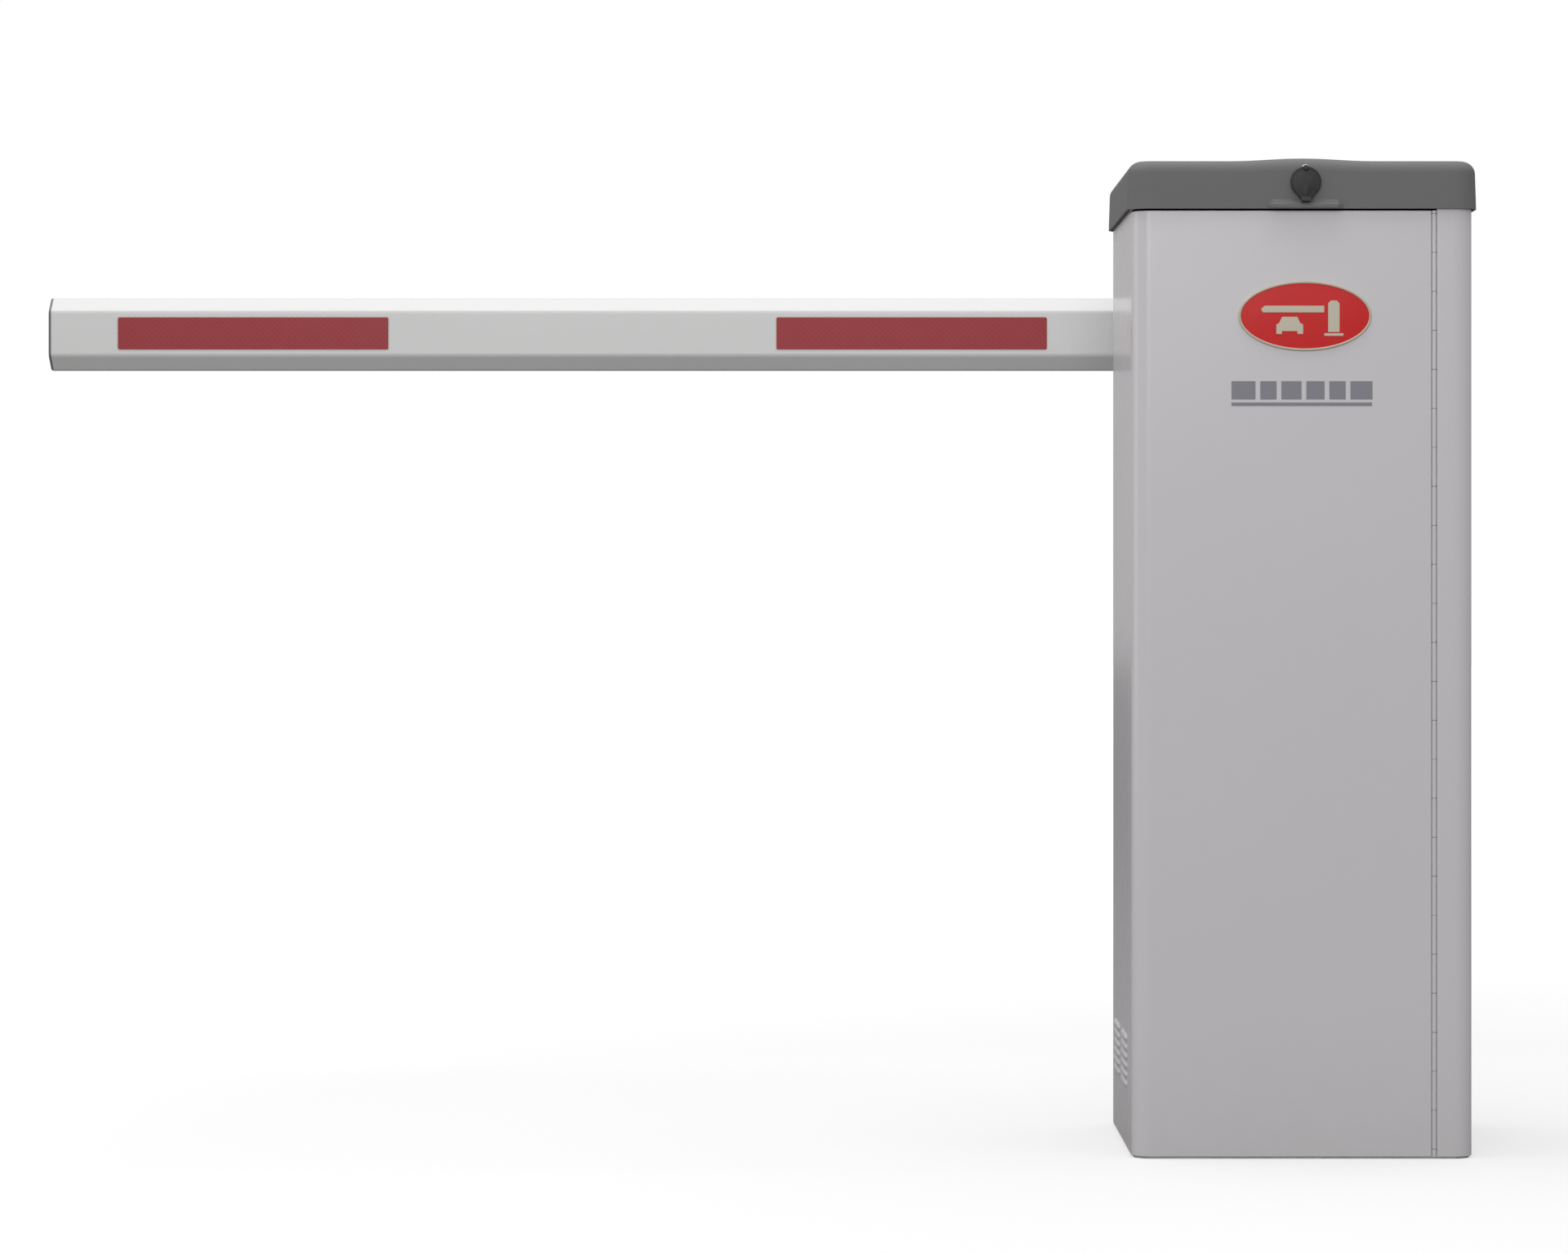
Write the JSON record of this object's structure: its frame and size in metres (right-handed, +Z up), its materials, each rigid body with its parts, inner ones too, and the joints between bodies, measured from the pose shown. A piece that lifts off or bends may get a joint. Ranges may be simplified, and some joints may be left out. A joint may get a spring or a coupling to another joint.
{
  "type": "parking barrier gate",
  "caption": "Sheet-metal gate cabinet with hinged door, lift-off lid and a spring-balanced octagonal boom driven by a worm gearmotor.",
  "frame": {"origin": "centre of the four anchor holes on the base plate's underside", "axes": "+Z up, +X along the boom from its free end to the cabinet, -Y out of the door"},
  "size_m": [1.551, 0.4756, 1.044],
  "materials": {
    "badge_red": "enamel",
    "bearing_iron": "painted casting",
    "black_plastic": "fine texture",
    "board_green": "solder mask",
    "boom_white": "white powder coat",
    "bronze": "machined",
    "cabinet_paint": "semi-gloss powder coat",
    "cap_plastic": "moulded",
    "coil_tape": "wound tape",
    "core_steel": "varnished laminations",
    "frame_paint": "satin powder coat",
    "gear_alloy": "raw die casting",
    "heatsink_black": "black anodised",
    "lid_paint": "semi-gloss powder coat",
    "lock_cover_dark": "moulded",
    "lock_metal": "satin",
    "motor_paint": "satin enamel",
    "reflective_red": "retroreflective film",
    "relay_blue": "smooth",
    "rubber": "moulded",
    "terminal_green": "smooth",
    "zinc_steel": "zinc plated"
  },
  "bodies": {
    "cabinet": {"base_plate": "zinc_steel", "cabinet_body": "cabinet_paint", "top_frame": "zinc_steel", "lid_seal": "rubber", "frame_front_plate": "frame_paint", "frame_rear_plate": "frame_paint", "frame_side_plates": "frame_paint", "frame_bolts": "zinc_steel", "bearing_housings": "bearing_iron", "shaft_seal": "rubber", "gearbox_housing": "gear_alloy", "gearbox_cover": "gear_alloy", "gearbox_bolts": "zinc_steel", "motor_body": "motor_paint", "motor_end_cap": "black_plastic", "control_panel": "cabinet_paint", "panel_posts": "zinc_steel", "control_board": "board_green", "board_terminals": "terminal_green", "board_relays": "relay_blue", "board_heatsink": "heatsink_black", "power_switch": "black_plastic", "battery_shelf": "cabinet_paint", "backup_batteries": "black_plastic", "battery_terminals": "bronze", "transformer_core": "core_steel", "transformer_coil": "coil_tape", "spring_anchor_bracket": "frame_paint", "spring_eye_bolt": "zinc_steel", "balance_spring": "zinc_steel", "stop_brackets": "frame_paint", "stop_bumpers": "rubber", "position_sensor": "black_plastic", "hinge_fixed_leaf": "cabinet_paint", "hinge_pin": "zinc_steel", "lid_catch": "zinc_steel", "latch_keeper": "zinc_steel"},
    "boom": {"boom_tube": "boom_white", "boom_end_caps": "cap_plastic", "reflective_tapes": "reflective_red", "boom_saddle": "frame_paint", "boom_clamp_cover": "frame_paint", "boom_clamp_bolts": "zinc_steel", "main_shaft": "zinc_steel", "bearing_rings": "zinc_steel", "rocker_lever": "frame_paint", "rocker_pins": "zinc_steel"},
    "crank": {"crank_assembly": "zinc_steel", "worm_wheel": "bronze"},
    "link": {"link_rod": "zinc_steel"},
    "worm": {"motor_worm": "zinc_steel"},
    "shackle": {"spring_shackle": "zinc_steel"},
    "door": {"door_panel": "cabinet_paint", "hinge_door_leaf": "cabinet_paint", "door_badge": "badge_red"},
    "latch": {"latch_bolt": "zinc_steel"},
    "lid": {"lid_shell": "lid_paint", "lock_barrel": "lock_metal"},
    "lock_plug": {"lock_plug_cam": "lock_metal"},
    "dust_cover": {"lock_dust_cover": "lock_cover_dark"}
  },
  "joints": [
    {"name": "boom_swing", "type": "hinge", "parent": "cabinet", "child": "boom", "pos_m": [0, 0.246, 0.88], "axis": [0, 1, 0], "range_deg": [0, 90], "deforming": ["balance_spring"]},
    {"name": "crank_turn", "type": "hinge", "parent": "cabinet", "child": "crank", "pos_m": [0, 0.03, 0.6], "axis": [0, 1, 0], "range_deg": [0, 90]},
    {"name": "link_turn", "type": "hinge", "parent": "crank", "child": "link", "pos_m": [-0.06364, 0.016, 0.53636], "axis": [0, 1, 0], "range_deg": [-90, 0]},
    {"name": "worm_spin", "type": "hinge", "parent": "cabinet", "child": "worm", "pos_m": [0.058, 0.114, 0.6], "axis": [0, 0, 1], "range_deg": [-2700, 2700]},
    {"name": "shackle_turn", "type": "hinge", "parent": "boom", "child": "shackle", "pos_m": [0.06364, 0.012, 0.94364], "axis": [0, 1, 0], "range_deg": [-90, 0]},
    {"name": "door_swing", "type": "hinge", "parent": "cabinet", "child": "door", "pos_m": [0.137, -0.1754, 0.5], "axis": [0, 0, 1], "range_deg": [0, 95]},
    {"name": "latch_slide", "type": "slide", "parent": "door", "child": "latch", "axis": [0, 0, 1], "range_m": [0, 0.012]},
    {"name": "lid_lift", "type": "slide", "parent": "cabinet", "child": "lid", "axis": [0, 0, 1], "range_m": [0, 0.12]},
    {"name": "lock_turn", "type": "hinge", "parent": "lid", "child": "lock_plug", "pos_m": [0.002, -0.183, 1.0185], "axis": [0, -1, 0], "range_deg": [0, 90]},
    {"name": "dust_cover_swing", "type": "hinge", "parent": "lid", "child": "dust_cover", "pos_m": [0.002, -0.187, 1.0325], "axis": [0, 1, 0], "range_deg": [0, 120]}
  ],
  "couplings": [
    {"joint": "crank_turn", "follows": "boom_swing", "ratio": 1},
    {"joint": "link_turn", "follows": "boom_swing", "ratio": -1},
    {"joint": "worm_spin", "follows": "boom_swing", "ratio": 30},
    {"joint": "shackle_turn", "follows": "boom_swing", "ratio": -1}
  ]
}
